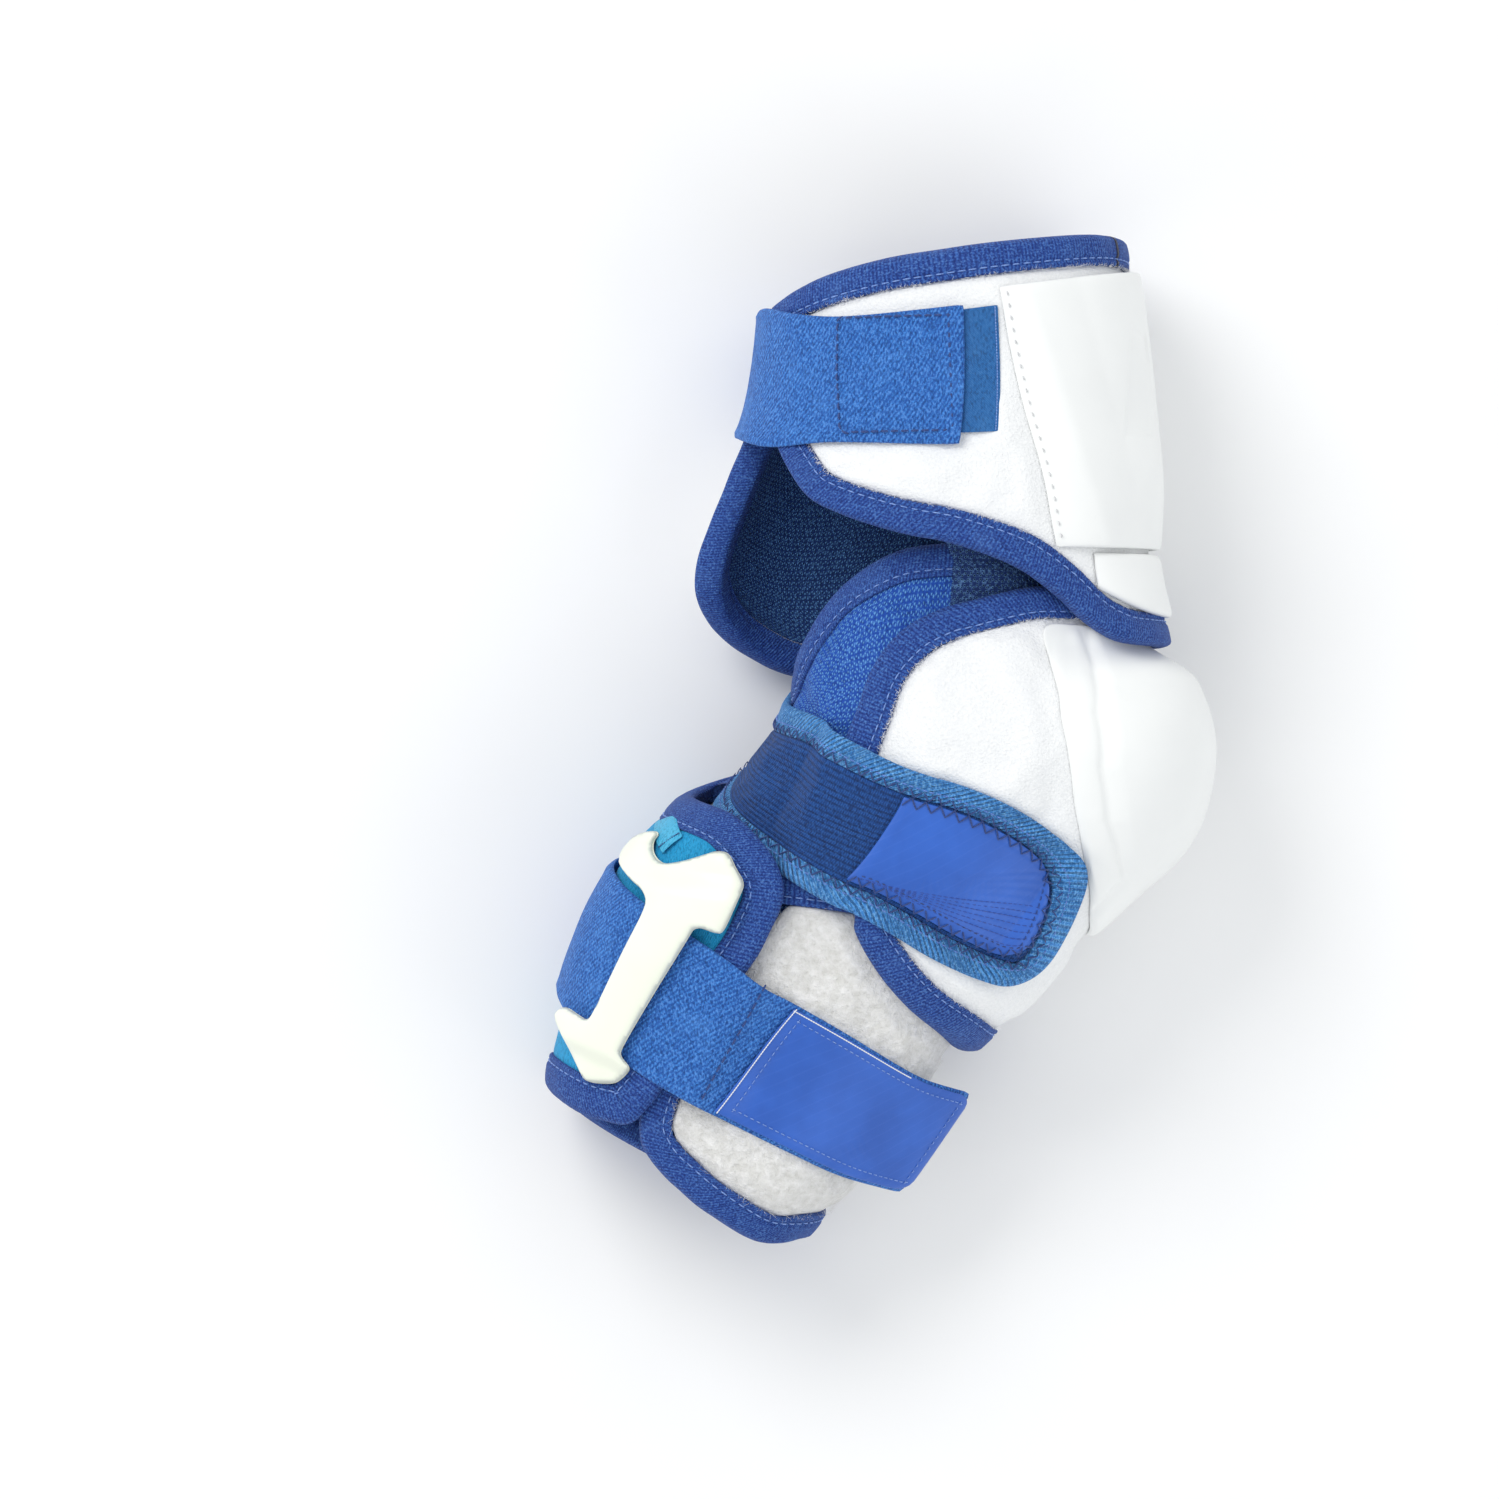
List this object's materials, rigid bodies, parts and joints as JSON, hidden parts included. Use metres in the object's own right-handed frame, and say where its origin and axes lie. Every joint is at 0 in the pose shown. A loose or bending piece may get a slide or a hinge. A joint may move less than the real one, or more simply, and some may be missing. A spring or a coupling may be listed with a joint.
{
  "type": "elbow pad",
  "caption": "Bent padded elbow guard for the right arm, with a moulded elbow cap, an upper-arm shell, a forearm plate and elastic straps, lying on its inner side.",
  "frame": {"origin": "on the surface that the guard lies on, under the middle of its box", "axes": "+X from the front of the arm to the elbow, +Y up the arm, +Z out of the side that faces away from the body"},
  "size_m": [0.2476, 0.3678, 0.1236],
  "materials": {
    "loop_fabric": "brushed white loop fabric",
    "white_shell": "smooth semi-matte moulding",
    "felt": "fluffy off-white felt",
    "binding_tape": "folded woven tape with a stitched edge",
    "twill_elastic": "twill elastic webbing",
    "satin_tape": "satin",
    "air_mesh": "dotted air mesh",
    "lining_mesh": "open mesh",
    "ribbed_knit": "fine ribbed knit",
    "ribbed_elastic": "ribbed elastic",
    "rubber_patch": "smooth rubber with fine raised lines",
    "teal_fabric": "smooth woven",
    "cream_plastic": "smooth moulded"
  },
  "bodies": {
    "root": {"bicep_wrap": "loop_fabric", "bicep_binding_top": "binding_tape", "bicep_binding_low": "binding_tape", "bicep_shell": "white_shell", "bicep_collar": "white_shell", "bicep_strap": "twill_elastic", "bicep_strap_tab": "satin_tape", "elbow_liner": "air_mesh", "elbow_liner_binding": "binding_tape", "elbow_gusset": "lining_mesh", "elbow_wrap": "loop_fabric", "elbow_binding_near": "binding_tape", "elbow_binding_far": "binding_tape", "elbow_cap": "white_shell", "elbow_strap": "ribbed_knit", "elbow_strap_binding": "ribbed_elastic", "elbow_strap_patch": "rubber_patch", "forearm_wrap": "felt", "forearm_binding_top": "binding_tape", "forearm_binding_wrist": "binding_tape", "forearm_guard": "teal_fabric", "forearm_guard_binding": "binding_tape", "forearm_plate": "cream_plastic", "forearm_strap": "twill_elastic", "forearm_strap_patch": "rubber_patch"}
  },
  "joints": []
}
